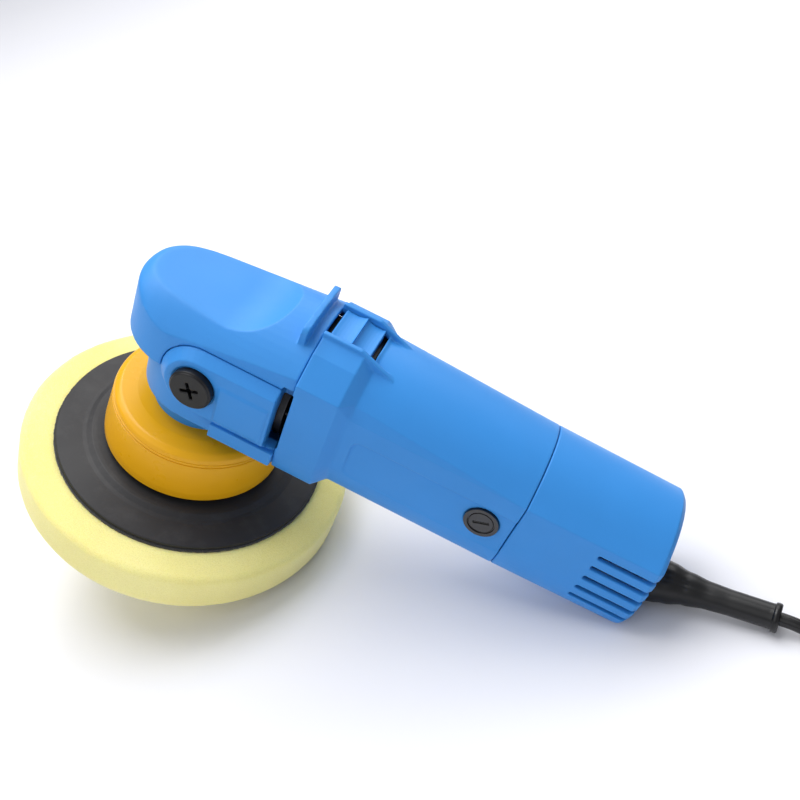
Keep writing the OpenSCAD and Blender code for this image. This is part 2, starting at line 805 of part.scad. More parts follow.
// A closed tube through a list of points, ends cut square to it
module sweep(path, r, sides) {
    n = len(path);
    rings = [for (i = [0:n - 1]) let (d = unit(path[min(i + 1, n - 1)] - path[max(i - 1, 0)]),
        side = unit(cross(d, [0, 0, 1])), up = cross(side, d))
        for (k = [0:sides - 1]) let (a = 360 * k / sides) path[i] + r * (cos(a) * side + sin(a) * up)];
    walls = [for (i = [0:n - 2], k = [0:sides - 1]) let (m = (k + 1) % sides)
        [i * sides + k, i * sides + m, (i + 1) * sides + m, (i + 1) * sides + k]];
    caps = [[for (k = [sides - 1:-1:0]) k], [for (k = [0:sides - 1]) (n - 1) * sides + k]];
    polyhedron(rings, concat(walls, caps), convexity = 8);
}

function unit(v) = v / norm(v);

module cord_tube() {
    color([0.07, 0.07, 0.07]) sweep(cord_route, cord_d / 2, 12);
}

module cord_coil() {
    r0 = coil_r - coil_w / 2;
    color([0.07, 0.07, 0.07]) translate([coil_c[0], coil_c[1], 1]) rotate_extrude($fn = 96) polygon([
        [r0, 3], [r0 + 3, 0], [r0 + coil_w - 3, 0], [r0 + coil_w, 3], [r0 + coil_w, coil_h - 3],
        [r0 + coil_w - 3, coil_h], [r0 + 3, coil_h], [r0, coil_h - 3]]);
}

module cord_tie() {
    inner = coil_r - coil_w / 2 - 0.8;
    color([0.16, 0.16, 0.17]) translate([coil_c[0], coil_c[1], 0]) rotate([0, 0, 215]) difference() {
        translate([inner - 1, -6, 0]) cube([coil_w + 2.8, 12, coil_h + 2]);
        translate([inner, -7, 1]) cube([coil_w + 0.8, 14, coil_h]);
    }
}

module cord_tail() {
    color([0.07, 0.07, 0.07]) sweep(tail_route, cord_d / 2, 12);
}

module plug() {
    color([0.09, 0.09, 0.09]) translate([plug_at[0], plug_at[1], plug_z]) {
        rotate([-90, 0, 0]) cylinder(h = 24, r1 = 4.6, r2 = 6.6);
        hull() {
            for (x = [-9, 9]) translate([x, 40, 0]) cylinder(h = 2 * plug_z - 2, r = 8.4, center = true);
            for (x = [-9, 9]) translate([x, 58, 0]) cylinder(h = 2 * plug_z - 2, r = 8.4, center = true);
            for (x = [-9, 9]) translate([x, 41, 0]) cylinder(h = 2 * plug_z, r = 7.4, center = true);
            for (x = [-9, 9]) translate([x, 57, 0]) cylinder(h = 2 * plug_z, r = 7.4, center = true);
            translate([-13.5, 50, -6.5]) cube([27, plug_len - 50, 13]);
            translate([0, 20, 0]) rotate([-90, 0, 0]) cylinder(h = 2, r = 7.4);
        }
    }
}

module plug_pins() {
    color([0.78, 0.78, 0.76]) for (x = [-1, 1]) translate([plug_at[0] + x * pin_gap / 2,
        plug_at[1] + plug_len, plug_z]) rotate([-90, 0, 0]) cylinder(h = pin_len, r = pin_d / 2);
}

foam_pad();
loop_layer();
backing_plate();
plate_nut();
spindle();
bevel_gear();
lower_bearing();
upper_bearing();
bearing_plate();
bearing_plate_screws();
guard();
guard_screws();
gear_housing();
head_cover();
handle_bolts();
motor_housing();
rear_cover();
rear_screws();
rotor_shaft();
pinion();
front_bearing();
fan();
armature();
windings();
commutator();
rear_bearing();
baffle();
stator();
field_coils();
brush_holders();
carbon_brushes();
brush_springs();
brush_caps();
slide_switch();
slider_base();
link_rod();
switch_module();
cord_clamp();
clamp_screws();
strain_relief();
cord_tube();
cord_coil();
cord_tie();
cord_tail();
plug();
plug_pins();
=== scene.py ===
import bpy
import bmesh
import json
import math
from mathutils import Matrix, Vector, noise


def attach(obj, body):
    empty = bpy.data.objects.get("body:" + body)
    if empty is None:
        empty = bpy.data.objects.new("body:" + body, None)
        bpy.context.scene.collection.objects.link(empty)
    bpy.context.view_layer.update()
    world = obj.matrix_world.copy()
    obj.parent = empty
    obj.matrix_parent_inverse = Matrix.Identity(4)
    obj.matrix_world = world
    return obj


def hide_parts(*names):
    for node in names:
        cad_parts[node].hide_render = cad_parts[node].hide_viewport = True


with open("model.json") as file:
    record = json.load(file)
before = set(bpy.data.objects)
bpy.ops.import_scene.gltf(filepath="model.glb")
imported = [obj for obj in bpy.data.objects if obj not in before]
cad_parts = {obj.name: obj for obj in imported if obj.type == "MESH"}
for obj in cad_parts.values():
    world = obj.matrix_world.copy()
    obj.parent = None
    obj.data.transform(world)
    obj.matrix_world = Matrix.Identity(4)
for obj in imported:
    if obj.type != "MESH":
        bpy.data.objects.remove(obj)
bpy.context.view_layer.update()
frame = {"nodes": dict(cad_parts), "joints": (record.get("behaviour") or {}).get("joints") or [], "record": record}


MM = 0.001

# ---- The tool's own frame: x to the rear, y to the left, z up the spindle from the pad's face ----

SPINDLE_PIVOT_H = 60  # height of the spindle joint's point above the pad's face

joints = {joint["name"]: joint for joint in frame["joints"]}
TOOL_Z = Vector(joints["spindle_turn"]["axis"]).normalized()
TOOL_X = Vector(joints["rotor_turn"]["axis"]).normalized()
TOOL_Y = TOOL_Z.cross(TOOL_X)
TOOL_ORIGIN = Vector(joints["spindle_turn"]["pos_m"]) - SPINDLE_PIVOT_H * MM * TOOL_Z
TOOL = Matrix((
    (TOOL_X.x, TOOL_Y.x, TOOL_Z.x, TOOL_ORIGIN.x),
    (TOOL_X.y, TOOL_Y.y, TOOL_Z.y, TOOL_ORIGIN.y),
    (TOOL_X.z, TOOL_Y.z, TOOL_Z.z, TOOL_ORIGIN.z),
    (0, 0, 0, 1)))


def at(x, y, z):
    """A point of the tool's frame in millimetres, in the row frame in metres."""
    return TOOL @ (Vector((x, y, z)) * MM)


def turned(x, y, z):
    """A direction of the tool's frame in the row frame."""
    return TOOL.to_3x3() @ Vector((x, y, z))


# ---- Camera: its place, in millimetres, and its directions are given in the tool's frame ----

CAMERA_LENS = 42.75
CAMERA_PLACE = (116.3, -332.65, 439.3)
CAMERA_LOOK = (-0.0455, 0.7300, -0.6819)
CAMERA_UP = (-0.4492, 0.5947, 0.6667)


def make_camera():
    made = bpy.data.objects.new("camera", bpy.data.cameras.new("camera"))
    bpy.context.scene.collection.objects.link(made)
    made.data.lens = CAMERA_LENS
    made.data.sensor_width = 36
    made.data.clip_start = 0.01
    made.data.clip_end = 50
    look = turned(*CAMERA_LOOK).normalized()
    right = look.cross(turned(*CAMERA_UP)).normalized()
    up = right.cross(look)
    made.matrix_world = Matrix((
        (right.x, up.x, -look.x, 0),
        (right.y, up.y, -look.y, 0),
        (right.z, up.z, -look.z, 0),
        (0, 0, 0, 1)))
    made.location = at(*CAMERA_PLACE)
    return made


camera = make_camera()
bpy.context.scene.camera = camera
bpy.context.scene.view_settings.view_transform = "Standard"


# ---- Materials ----

class Tree:
    """One material, with small helpers for building its nodes. Textures use object coordinates in metres."""

    def __init__(self, name):
        self.material = bpy.data.materials.new(name)
        self.material.use_nodes = True
        self.nodes = self.material.node_tree.nodes
        self.links = self.material.node_tree.links
        self.nodes.clear()
        output = self.nodes.new("ShaderNodeOutputMaterial")
        self.shader = self.nodes.new("ShaderNodeBsdfPrincipled")
        self.link(self.shader.outputs[0], output.inputs[0])
        self.at = self.nodes.new("ShaderNodeTexCoord").outputs["Object"]

    def link(self, source, socket):
        self.links.new(source, socket)

    def put(self, value, socket):
        """Links an output to a socket, or sets the socket to a number or a colour."""
        if hasattr(value, "is_output"):
            self.link(value, socket)
        elif hasattr(value, "__len__"):
            socket.default_value = (*value, 1)
        else:
            socket.default_value = value

    def noise(self, scale, detail=3.0, rough=0.5, stretch=None):
        made = self.nodes.new("ShaderNodeTexNoise")
        made.inputs["Scale"].default_value = scale
        made.inputs["Detail"].default_value = detail
        made.inputs["Roughness"].default_value = rough
        source = self.at
        if stretch:
            mapping = self.nodes.new("ShaderNodeMapping")
            mapping.inputs["Scale"].default_value = stretch
            self.link(self.at, mapping.inputs["Vector"])
            source = mapping.outputs["Vector"]
        self.link(source, made.inputs["Vector"])
        return made.outputs["Fac"]

    def cells(self, scale):
        made = self.nodes.new("ShaderNodeTexVoronoi")
        made.inputs["Scale"].default_value = scale
        self.link(self.at, made.inputs["Vector"])
        return made.outputs["Distance"]

    def remap(self, value, low, high, to_low, to_high):
        made = self.nodes.new("ShaderNodeMapRange")
        for key, bound in (("From Min", low), ("From Max", high), ("To Min", to_low), ("To Max", to_high)):
            made.inputs[key].default_value = bound
        self.link(value, made.inputs["Value"])
        return made.outputs["Result"]

    def mix(self, first, second, factor):
        made = self.nodes.new("ShaderNodeMix")
        made.data_type = "RGBA"
        self.put(factor, made.inputs["Factor"])
        self.put(first, made.inputs["A"])
        self.put(second, made.inputs["B"])
        return made.outputs["Result"]

    def product(self, first, second):
        made = self.nodes.new("ShaderNodeMath")
        made.operation = "MULTIPLY"
        self.put(first, made.inputs[0])
        self.put(second, made.inputs[1])
        return made.outputs[0]

    def bump(self, height, distance, strength=1.0, under=None):
        made = self.nodes.new("ShaderNodeBump")
        made.inputs["Strength"].default_value = strength
        made.inputs["Distance"].default_value = distance
        self.link(height, made.inputs["Height"])
        if under is not None:
            self.link(under, made.inputs["Normal"])
        return made.outputs["Normal"]

    def done(self, colour, rough, normal, **sockets):
        for key, value in (("Base Color", colour), ("Roughness", rough), ("Normal", normal)):
            self.put(value, self.shader.inputs[key])
        for key, value in sockets.items():
            self.shader.inputs[key.replace("_", " ")].default_value = value
        return self.material


def shade(colour, factor):
    return tuple(min(1, channel * factor) for channel in colour)


def moulded(name, colour, rough, depth=0.00002, tint=0.06, spec=0.5, coat=0.0):
    """Moulded plastic: fine spark texture, faint cloudiness and a little uneven gloss."""
    tree = Tree(name)
    cloud = tree.noise(14, 4)
    base = tree.mix(shade(colour, 1 - tint), shade(colour, 1 + tint), tree.remap(cloud, 0.3, 0.7, 0, 1))
    speck = tree.noise(900, 2)
    base = tree.mix(base, shade(colour, 0.9), tree.remap(speck, 0.62, 0.75, 0, 0.35))
    smear = tree.noise(45, 5, 0.6)
    roughness = tree.remap(smear, 0.3, 0.75, rough - 0.05, rough + 0.07)
    wave = tree.bump(tree.noise(60, 2), 0.00006, 0.25)
    normal = tree.bump(tree.noise(2200, 2), depth, 0.55, wave)
    return tree.done(base, roughness, normal, Specular_IOR_Level=spec, Coat_Weight=coat, Coat_Roughness=0.2)


def metal(name, colour, rough, stretch=(1, 1, 1), scale=900.0):
    """Machined or drawn metal: stretched lines in its colour, gloss and surface."""
    tree = Tree(name)
    lines = tree.noise(scale, 3, 0.6, stretch)
    base = tree.mix(shade(colour, 0.82), colour, lines)
    roughness = tree.remap(lines, 0.3, 0.7, rough - 0.06, rough + 0.1)
    return tree.done(base, roughness, tree.bump(lines, 0.00001, 0.4), Metallic=1.0)


def rubber(name, colour, rough, grain=1400.0, depth=0.00003, dust=0.0):
    """Rubber: cloudy tone and gloss, a fine grain, and on the plate a trace of pale dust."""
    tree = Tree(name)
    cloud = tree.noise(22, 5, 0.6)
    base = tree.mix(shade(colour, 0.8), shade(colour, 1.25), cloud)
    if dust:
        powder = tree.remap(tree.noise(75, 6, 0.7), 0.5, 0.8, 0, dust)
        base = tree.mix(base, (0.42, 0.41, 0.4), powder)
    roughness = tree.remap(cloud, 0.3, 0.7, rough - 0.06, rough + 0.08)
    normal = tree.bump(tree.noise(grain, 3), depth, 0.6)
    return tree.done(base, roughness, normal, Specular_IOR_Level=0.4)


def foam_material():
    """Open-cell polyurethane foam: fine pores of two sizes, painted shade in the larger pores' hollows, a painted
    highlight on the small pores' rims, and soft tint changes.
    """
    tree = Tree("foam")
    cloud = tree.noise(18, 4)
    base = tree.mix((0.84, 0.75, 0.245), (0.92, 0.84, 0.34), tree.remap(cloud, 0.3, 0.7, 0, 1))
    pores = tree.cells(1400)
    small = tree.cells(3000)
    # painted shade: the colour is darkened towards the middle of each larger pore, where its hollow lies in shade
    hole = tree.remap(pores, 0.05, 0.5, 1, 0)
    base = tree.mix(base, (0.62, 0.54, 0.16), tree.product(hole, 0.34))
    # painted highlight: the colour is lightened towards a paler yellow along the edges of the small pores, where
    # their rims catch the light
    base = tree.mix(base, (1.0, 0.96, 0.62), tree.remap(small, 0.5, 0.95, 0, 0.25))
    normal = tree.bump(pores, 0.0003, 0.4, tree.bump(small, 0.00015, 0.4))
    return tree.done(base, 0.92, normal, Specular_IOR_Level=0.15, Sheen_Weight=0.25, Sheen_Roughness=0.5,
                     Subsurface_Weight=0.3, Subsurface_Scale=0.004, Subsurface_Radius=(1.0, 0.8, 0.35))


def fabric(name, colour):
    """Woven or looped fabric: cells of thread with a slight sheen."""
    tree = Tree(name)
    weave = tree.cells(1800)
    base = tree.mix(shade(colour, 0.6), shade(colour, 1.5), weave)
    return tree.done(base, 0.85, tree.bump(weave, 0.0002, 0.8), Sheen_Weight=0.3, Specular_IOR_Level=0.2)


def floor_paper():
    tree = Tree("floor_paper")
    base = tree.mix((0.79, 0.79, 0.83), (0.83, 0.83, 0.86), tree.noise(2.5, 3))
    return tree.done(base, 0.7, tree.bump(tree.noise(400, 3), 0.0001, 0.1), Specular_IOR_Level=0.2)


BLUE = (0.036, 0.252, 0.665)
YELLOW = (0.77, 0.38, 0.005)

MATERIALS = {
    "foam": foam_material(),
    "loop": fabric("loop", (0.04, 0.04, 0.042)),
    "plate_rubber": rubber("plate_rubber", (0.014, 0.0135, 0.015), 0.55, dust=0.04),
    "steel": metal("steel", (0.62, 0.62, 0.63), 0.3),
    "gear_steel": metal("gear_steel", (0.4, 0.4, 0.41), 0.35),
    "dark_screw": metal("dark_screw", (0.09, 0.09, 0.095), 0.42),
    "blue_plastic": moulded("blue_plastic", BLUE, 0.45, tint=0.05, spec=0.3),
    "yellow_plastic": moulded("yellow_plastic", YELLOW, 0.30, depth=0.000008, tint=0.04, spec=0.3),
    "black_plastic": moulded("black_plastic", (0.006, 0.006, 0.007), 0.4, spec=0.32),
    "black_gloss": moulded("black_gloss", (0.005, 0.005, 0.006), 0.14, depth=0.000002, coat=0.4),
    "fan_plastic": moulded("fan_plastic", (0.012, 0.012, 0.013), 0.5),
    "laminated_steel": metal("laminated_steel", (0.3, 0.3, 0.31), 0.45, (12, 1, 1)),
    "copper": metal("copper", (0.62, 0.27, 0.12), 0.36, (9, 1, 1), 500),
    "brass": metal("brass", (0.62, 0.44, 0.17), 0.33),
    "carbon": rubber("carbon", (0.03, 0.03, 0.03), 0.5),
    "relief_rubber": rubber("relief_rubber", (0.0035, 0.0035, 0.004), 0.33, 900, 0.00001),
    "cord_rubber": rubber("cord_rubber", (0.006, 0.006, 0.0065), 0.3, 900, 0.00001),
    "tie_fabric": fabric("tie_fabric", (0.03, 0.03, 0.033)),
    "plug_rubber": rubber("plug_rubber", (0.016, 0.016, 0.017), 0.45),
    "pin_metal": metal("pin_metal", (0.75, 0.73, 0.68), 0.2),
}
SLOT = {part["node"]: part["material_slot"] for part in frame["record"]["subparts"]}
BODY = {node: body for body, nodes in frame["record"]["behaviour"]["bodies"].items() for node in nodes}

for node, piece in frame["nodes"].items():
    piece.data.materials.clear()
    piece.data.materials.append(MATERIALS[SLOT[node]])
    for face in piece.data.polygons:
        face.use_smooth = False


# ---- Helpers that make and finish pieces ----

def finished(piece, slot, body, replaced=()):
    """Gives a new piece its slot's material and smooth shading, puts it on its body, and hides the nodes that it
    replaces.
    """
    piece.data.materials.clear()
    piece.data.materials.append(MATERIALS[slot])
    if piece.type == "MESH":
        for face in piece.data.polygons:
            face.use_smooth = True
    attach(piece, body)
    if replaced:
        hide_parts(*replaced)
    return piece


def stands_for(piece, node):
    """Finishes a piece in the slot and on the body of the one CAD node that it replaces."""
    return finished(piece, SLOT[node], BODY[node], [node])


def mesh_object(name, points, faces):
    mesh = bpy.data.meshes.new(name)
    mesh.from_pydata([tuple(p) for p in points], [], faces)
    mesh.update()
    piece = bpy.data.objects.new(name, mesh)
    bpy.context.scene.collection.objects.link(piece)
    return piece


def apply_modifiers(piece):
    graph = bpy.context.evaluated_depsgraph_get()
    mesh = bpy.data.meshes.new_from_object(piece.evaluated_get(graph))
    piece.modifiers.clear()
    piece.data = mesh


def smooth_share(share):
    """Eases a share from 0 to 1 so that it starts and ends level."""
    return share * share * (3 - 2 * share)


def along_stops(stops, place, eased_over=0):
    """Values at a place between stops of (place, value, ...), eased where a span is over eased_over."""
    for low, high in zip(stops, stops[1:]):
        if low[0] <= place <= high[0]:
            span = high[0] - low[0]
            share = (place - low[0]) / span
            if span > eased_over:
                share = smooth_share(share)
            return [a + (b - a) * share for a, b in zip(low[1:], high[1:])]


def arc_points(centre, radius, from_angle, to_angle, count):
    points = []
    for i in range(count + 1):
        angle = math.radians(from_angle + (to_angle - from_angle) * i / count)
        points.append((centre[0] + radius * math.cos(angle), centre[1] + radius * math.sin(angle)))
    return points


def rounded(corners, steps):
    """An outline of (x, y) points from corners of (x, y, rounding); its two ends stay sharp."""
    out = [corners[0][:2]]
    for before, corner, after in zip(corners, corners[1:], corners[2:]):
        tip = Vector(corner[:2])
        back = Vector(before[:2]) - tip
        ahead = Vector(after[:2]) - tip
        turn = back.angle(ahead)
        reach = min(corner[2] / math.tan(turn / 2), 0.45 * back.length, 0.45 * ahead.length)
        start = tip + back.normalized() * reach
        end = tip + ahead.normalized() * reach
        for k in range(steps + 1):
            f = k / steps
            out.append(tuple((1 - f) ** 2 * start + 2 * f * (1 - f) * tip + f * f * end))
    out.append(corners[-1][:2])
    return out


def loft(name, rings, closed_ends=True):
    """A skin over rings of points, each ring closed on itself."""
    n = len(rings[0])
    points = [p for ring in rings for p in ring]
    faces = []
    for i in range(len(rings) - 1):
        for k in range(n):
            m = (k + 1) % n
            faces.append((i * n + k, i * n + m, (i + 1) * n + m, (i + 1) * n + k))
    if closed_ends:
        faces.append(tuple(range(n - 1, -1, -1)))
        faces.append(tuple((len(rings) - 1) * n + k for k in range(n)))
    return mesh_object(name, points, faces)


def lathe(name, profile, origin, axis, side, segments, uneven=None, closed_ends=True):
    """Turns a profile of (radius, height) in millimetres about an axis."""
    third = axis.cross(side)
    rings = []
    for radius, height in profile:
        ring = []
        for k in range(segments):
            angle = 2 * math.pi * k / segments
            r, h = uneven(radius, height, angle) if uneven else (radius, height)
            out = (side * math.cos(angle) + third * math.sin(angle)) * (r * MM)
            ring.append(origin + axis * (h * MM) + out)
        rings.append(ring)
    return loft(name, rings, closed_ends)


def sewn(piece):
    """Joins the first and last ring of a skin that closes on itself, with its faces turned outwards."""
    work = bmesh.new()
    work.from_mesh(piece.data)
    bmesh.ops.remove_doubles(work, verts=work.verts, dist=1e-6)
    bmesh.ops.recalc_face_normals(work, faces=work.faces)
    work.to_mesh(piece.data)
    work.free()
    return piece


def turned_ring(name, corners, steps):
    """A ring with a hole, turned about the spindle from a closed outline of (radius, height, rounding)."""
    profile = rounded(corners, steps)
    profile.append(profile[0])
    return sewn(lathe(name, profile, at(0, 0, 0), TOOL_Z, TOOL_X, 192, closed_ends=False))


# ---- Cord: out of the strain relief, along the floor, into the coil, and to the plug ----

CORD_D = 6.5
RELIEF_END = (222, -10.5, 7.5)
ROUTE = [RELIEF_END, (228, -11.6, 6.9), (235, -13.3, 5.6), (242, -15.5, 4.4), (250, -18, 3.6),
         (260, -20.8, 3.3), (270, -22.8, 3.5), (281, -24, 4)]
TAIL = [(336, 28, 24.3), (336, 36, 22.4), (336, 44, 19.2), (336, 51, 15.2), (336, 58, 10.8),
        (336, 65, 7.2), (336, 72, 4.8), (336, 80, 3.4), (336, 87, 3.6), (336, 94, 4.8),
        (336, 101, 6.6), (336, 108, 8)]
COIL_X, COIL_Y = 292, 20
LANES = (30, 37, 44)            # radii of the turns that lie beside each other
LAYERS = (4.3, 11, 17.7, 24.4)  # heights of the turns that lie on each other
FIRST_ANGLE = -90
LAST_ANGLE = 3600
LAYER_START = -35
LAYER_ANGLE = 990
LANE_ANGLES = (0, 235, 295, 595, 655, 920)  # from a layer's start, where its three lanes begin and end
STEP_ANGLE = 12


def winding_stops():
    """(angle, lane, layer) where the cord enters and leaves each lane, inwards and then outwards."""
    stops = []
    for layer in range(len(LAYERS)):
        lanes = (0, 0, 1, 1, 2, 2) if layer % 2 else (2, 2, 1, 1, 0, 0)
        for angle, lane in zip(LANE_ANGLES, lanes):
            stops.append((LAYER_START + LAYER_ANGLE * layer + angle, lane, layer))
    stops[0] = (FIRST_ANGLE, *stops[0][1:])
    stops[-1] = (LAST_ANGLE, *stops[-1][1:])
    return stops


def winding():
    points = []
    stops = winding_stops()
    for (a0, lane0, layer0), (a1, lane1, layer1) in zip(stops, stops[1:]):
        count = max(1, round((a1 - a0) / STEP_ANGLE))
        for i in range(count):
            share = i / count
            angle = math.radians(a0 + (a1 - a0) * share)
            eased_share = smooth_share(share)
            radius = LANES[lane0] + (LANES[lane1] - LANES[lane0]) * eased_share
            height = LAYERS[layer0] + (LAYERS[layer1] - LAYERS[layer0]) * eased_share
            points.append((COIL_X + radius * math.cos(angle), COIL_Y + radius * math.sin(angle), height))
    points.append((COIL_X + LANES[-1], COIL_Y, LAYERS[-1]))
    return points


def cord_curve(points):
    """One smooth open spline through the points, with the cord's round section."""
    curve = bpy.data.curves.new("mains_cord", "CURVE")
    curve.dimensions = "3D"
    spline = curve.splines.new("BEZIER")
    spline.bezier_points.add(len(points) - 1)
    for i, place in enumerate(points):
        before = points[max(0, i - 1)]
        after = points[min(len(points) - 1, i + 1)]
        tangent = (after - before).normalized()
        point = spline.bezier_points[i]
        point.co = place
        point.handle_left = place - tangent * (place - before).length / 3
        point.handle_right = place + tangent * (after - place).length / 3
    curve.bevel_depth = CORD_D / 2 * MM
    curve.bevel_resolution = 5
    curve.resolution_u = 4
    curve.use_fill_caps = True
    piece = bpy.data.objects.new("mains_cord", curve)
    bpy.context.scene.collection.objects.link(piece)
    return piece


cord_points = [Vector(p) * MM for p in ROUTE + winding() + TAIL]
cord = finished(cord_curve(cord_points), "cord_rubber", "root", ["cord_tube", "cord_coil", "cord_tail"])


# ---- Strain relief: one soft moulding that runs straight down from the housing to the floor ----

RELIEF_ROOT = (241, 0, 97)  # inside the rear face, in the tool's frame
RELIEF_RINGS = 40
RELIEF_SIDES = 96
FLOOR_GAP = 0.0003  # metres that the relief stays above the floor
# Share of the length and radius: a flare, a slim neck, and a collar at the end
RELIEF_RADII = [(-0.02, 11.9), (0.04, 12.0), (0.10, 11.6), (0.2, 10.4), (0.34, 8.3), (0.5, 6.8), (0.66, 6.3),
                (0.93, 6.2), (0.952, 6.3), (0.957, 7.1), (0.975, 7.2), (0.992, 7.1), (1.0, 6.6)]
# Angle, width and depth of the shallow folds that run along the flare
RELIEF_FOLDS = [(1.1, 0.2, 1), (2.9, 0.2, 1), (4.6, 0.22, 0.8)]
FOLD_DEPTH = 0.15
FOLD_START, FOLD_END = 0.08, 0.66


def relief():
    root = at(*RELIEF_ROOT)
    end = Vector(RELIEF_END) * MM
    along = (end - root).normalized()
    length = (end - root).length
    side = along.cross(Vector((0, 0, 1))).normalized()
    rise = side.cross(along)
    rings = []
    for f in sorted(set([i / RELIEF_RINGS for i in range(RELIEF_RINGS + 1)] + [s for s, _ in RELIEF_RADII])):
        radius = along_stops(RELIEF_RADII, f)[0]
        centre = root + along * (length * f)
        fold_here = FOLD_DEPTH * max(0, min(1, f / FOLD_START)) * max(0, 1 - f / FOLD_END)
        ring = []
        for k in range(RELIEF_SIDES):
            angle = 2 * math.pi * k / RELIEF_SIDES
            folds = sum(depth * math.exp(-((angle - a) / width) ** 2) for a, width, depth in RELIEF_FOLDS)
            out = side * math.cos(angle) + rise * math.sin(angle)
            point = centre + out * (radius * (1 - fold_here * folds) * MM)
            point.z = max(point.z, FLOOR_GAP)
            ring.append(point)
        rings.append(ring)
    return loft("strain_relief_boot", rings)


boot = stands_for(relief(), "strain_relief")


# ---- Soft moulded shells: a copy of each CAD shell with its edges eased, as a mould leaves them ----

PALM_REST_LOW = 134    # the palm rest is the part of the head cover above this
PALM_REST_SHARP = 14   # its edge stays clear behind this
PALM_REST_BLEND = 22   # and it softens over this length towards the nose


def eased(name, node, voxel, passes, thin, softer):
    """softer gives how much more a point in the tool's frame is smoothed, from 0 to 1."""
    piece = bpy.data.objects.new(name, frame["nodes"][node].data.copy())
    bpy.context.scene.collection.objects.link(piece)
    piece.data.transform(TOOL.inverted())
    remesh = piece.modifiers.new("remesh", "REMESH")
    remesh.mode = "VOXEL"
    remesh.voxel_size = voxel * MM
    remesh.adaptivity = 0
    apply_modifiers(piece)
    smooth = piece.modifiers.new("smooth", "SMOOTH")
    smooth.factor = 0.5
    smooth.iterations = passes
    if softer:
        group = piece.vertex_groups.new(name="softer")
        for vertex in piece.data.vertices:
            share = softer(vertex.co / MM)
            if share > 0:
                group.add([vertex.index], share, "REPLACE")
        more = piece.modifiers.new("more", "SMOOTH")
        more.factor = 0.5
        more.iterations = 60
        more.vertex_group = "softer"
    apply_modifiers(piece)
    few = piece.modifiers.new("few", "DECIMATE")
    few.ratio = thin
    apply_modifiers(piece)
    piece.data.transform(TOOL)
    piece.data.update()
    return piece


def palm_rest(point):
    """The palm rest runs softly into the nose, and ends in a clear edge at the rear."""
    if point.z < PALM_REST_LOW:
        return 0
    return max(0, min(1, (PALM_REST_SHARP - point.x) / PALM_REST_BLEND))


shell_voxel = 0.5
for name, node, voxel, passes, thin, softer in (
        ("motor_housing_shell", "motor_housing", shell_voxel, 2, 0.35, None),
        ("rear_cover_shell", "rear_cover", shell_voxel, 2, 0.35, None),
        ("gear_housing_shell", "gear_housing", shell_voxel, 2, 0.35, None),
        ("head_cover_shell", "head_cover", shell_voxel, 3, 0.35, palm_rest),
        ("slide_button", "slide_switch", 0.25, 2, 0.4, None),
        ("handle_bolt_heads", "handle_bolts", 0.3, 4, 0.5, None),
        ("brush_cap_discs", "brush_caps", 0.16, 2, 0.4, None)):
    stands_for(eased(name, node, voxel, passes, thin, softer), node)


# ---- Guard: a cup with two fine grooves under its shoulder; corners are (radius, height, rounding) ----

GUARD = [(45.7, 39.6, 0), (47.9, 39.6, 0.5), (47.95, 44, 6), (46.12, 63.7, 0.25),
         (45.6, 63.9, 0.12), (45.6, 64.25, 0.12), (46.05, 64.5, 0.4), (45.95, 65.6, 0.4),
         (45.5, 65.8, 0.12), (45.5, 66.15, 0.12), (45.75, 66.4, 0.25), (45.1, 68.6, 2.4),
         (42.6, 70.5, 3.4), (34.0, 70.9, 6), (24.0, 70.32, 4), (15.0, 70.32, 0.4),
         (15.0, 68.1, 0.3), (36.0, 68.1, 1.5), (43.3, 64.5, 3), (45.3, 44, 2)]
stands_for(turned_ring("guard_shell", GUARD, 8), "guard")

# ---- Backing plate: a thin rim, a step, and a hub that rises into the guard ----

PLATE = [(12.1, 30.55, 0), (71.5, 30.55, 0.4), (72.0, 31.1, 0.4), (72.0, 32.3, 0.5), (71.4, 32.7, 0.4),
         (58.6, 33.6, 1.5), (56.6, 34.1, 2.5), (53.8, 35.8, 2.0), (51.6, 36.0, 1.0), (30, 36.5, 4),
         (21, 39.7, 3), (19, 42.7, 2), (18, 47.9, 0.5), (12.1, 47.9, 0)]
stands_for(turned_ring("rubber_plate", PLATE, 6), "backing_plate")


# ---- Foam pad ----

PAD_R = 90.0
PAD_GAP = 0.02        # the foam stays this far inside the pad's full radius
TIP_R = 0.05          # radius of the tiny flat at the middle of a turned disc
FOAM_SPACING = 2.2    # longest span between two rings of the foam
PRESSED_BELOW = 0.0004  # metres above the floor where the foam starts to be pressed flat
PRESSED_SHARE = 0.15    # how much of its depth the pressed foam keeps


def foam_uneven(radius, height, angle):
    """Slightly uneven foam: broad and small swells near its edge."""
    if radius < 1:
        return radius, height
    place = Vector((radius * math.cos(angle), radius * math.sin(angle), height)) * 0.045
    swell = noise.noise(place) * 0.35 + noise.noise(place * 6) * 0.10
    edge = min(1, max(0, (radius - 60) / 20))
    lift = swell * 0.5 if 3 < height < 29.1 else 0
    return min(PAD_R - PAD_GAP, radius + swell * edge - 0.25 * edge), height + lift * edge


def foam_profile():
    corners = [(TIP_R, 0.05), (30, 0.05), (60, 0.05), (75, 0.05)]
    corners += arc_points((81.8, 8.2), 8.2, -90, 0, 12)
    corners += [(PAD_R, 13), (PAD_R, 17), (89.9, 21)]
    corners += arc_points((85.6, 24.6), 4.3, 8, 86, 10)
    corners += [(80, 29.15), (76, 29.35), (73.9, 29.3), (72.8, 28.95), (71.8, 28.9)]
    corners += [(60, 28.95), (30, 28.95), (TIP_R, 28.95)]
    dense = []
    for (r0, h0), (r1, h1) in zip(corners, corners[1:]):
        parts = max(1, int(math.hypot(r1 - r0, h1 - h0) / FOAM_SPACING))
        dense += [(r0 + (r1 - r0) * i / parts, h0 + (h1 - h0) * i / parts) for i in range(parts)]
    dense.append(corners[-1])
    return dense


